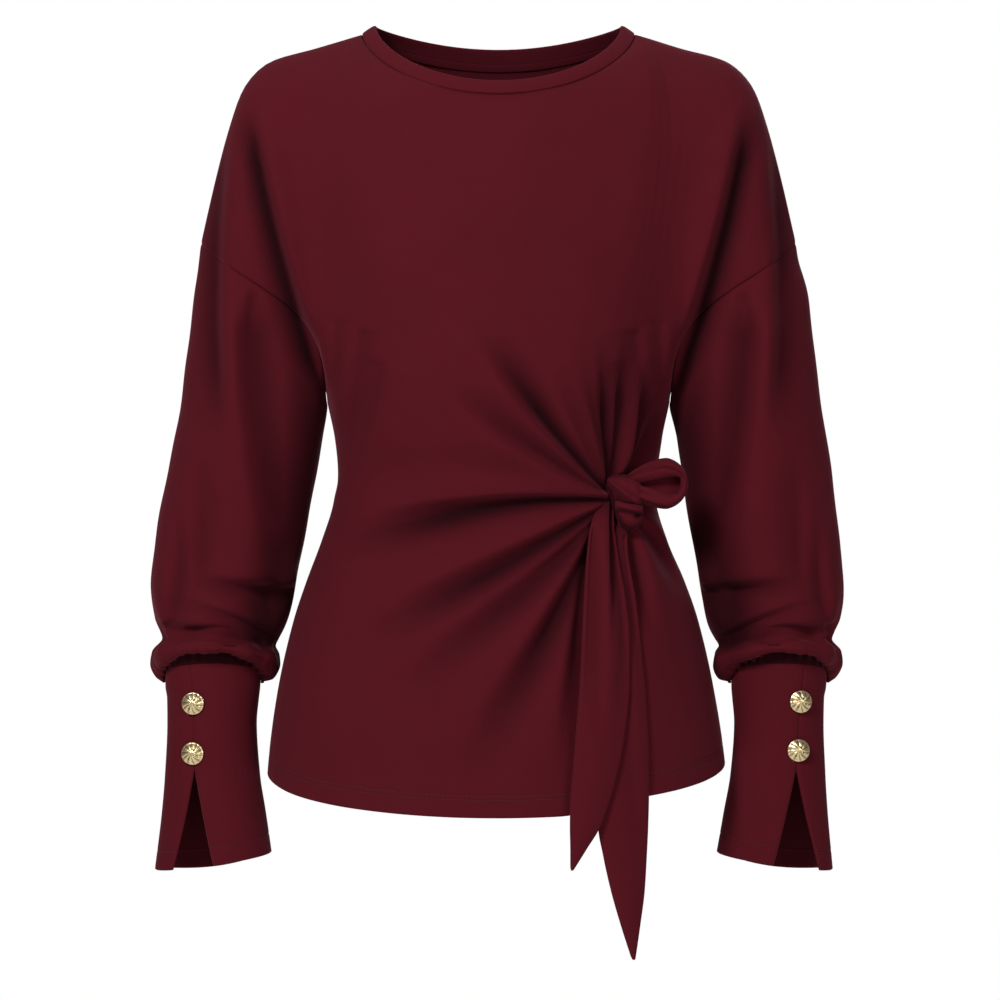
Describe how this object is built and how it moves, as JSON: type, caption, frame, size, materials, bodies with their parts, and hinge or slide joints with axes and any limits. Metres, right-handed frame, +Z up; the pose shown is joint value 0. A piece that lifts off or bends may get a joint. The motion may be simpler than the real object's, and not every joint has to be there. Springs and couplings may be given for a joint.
{
  "type": "tie-waist sweatshirt",
  "caption": "Long-sleeved knit top with a round neck, dropped shoulders, full sleeves gathered over deep buttoned cuffs, and a side-front tie that draws the waist in.",
  "frame": {"origin": "between the shoulders, in the middle of the neck opening at the level of the highest shoulder point", "axes": "+Z up, towards the neck; -Y the front of the garment; +X to the viewer's right as the front is seen, the wearer's left"},
  "size_m": [0.5419, 0.2664, 0.7144],
  "materials": {
    "wine_jersey": "soft matt knit in a dark wine red",
    "wine_binding": "soft matt knit, folded over the edge",
    "polished_gold": "polished, gold coloured, with uneven rays"
  },
  "bodies": {
    "root": {"front_panel": "wine_jersey", "back_panel": "wine_jersey", "sleeve_left": "wine_jersey", "sleeve_right": "wine_jersey", "cuff_left": "wine_jersey", "cuff_right": "wine_jersey", "neck_binding": "wine_binding", "neck_tape": "wine_binding", "tie_knot": "wine_jersey", "tie_loop": "wine_jersey", "tie_tail_front": "wine_jersey", "tie_tail_back": "wine_jersey", "button_left_upper": "polished_gold", "button_left_lower": "polished_gold", "button_right_upper": "polished_gold", "button_right_lower": "polished_gold"}
  },
  "joints": []
}
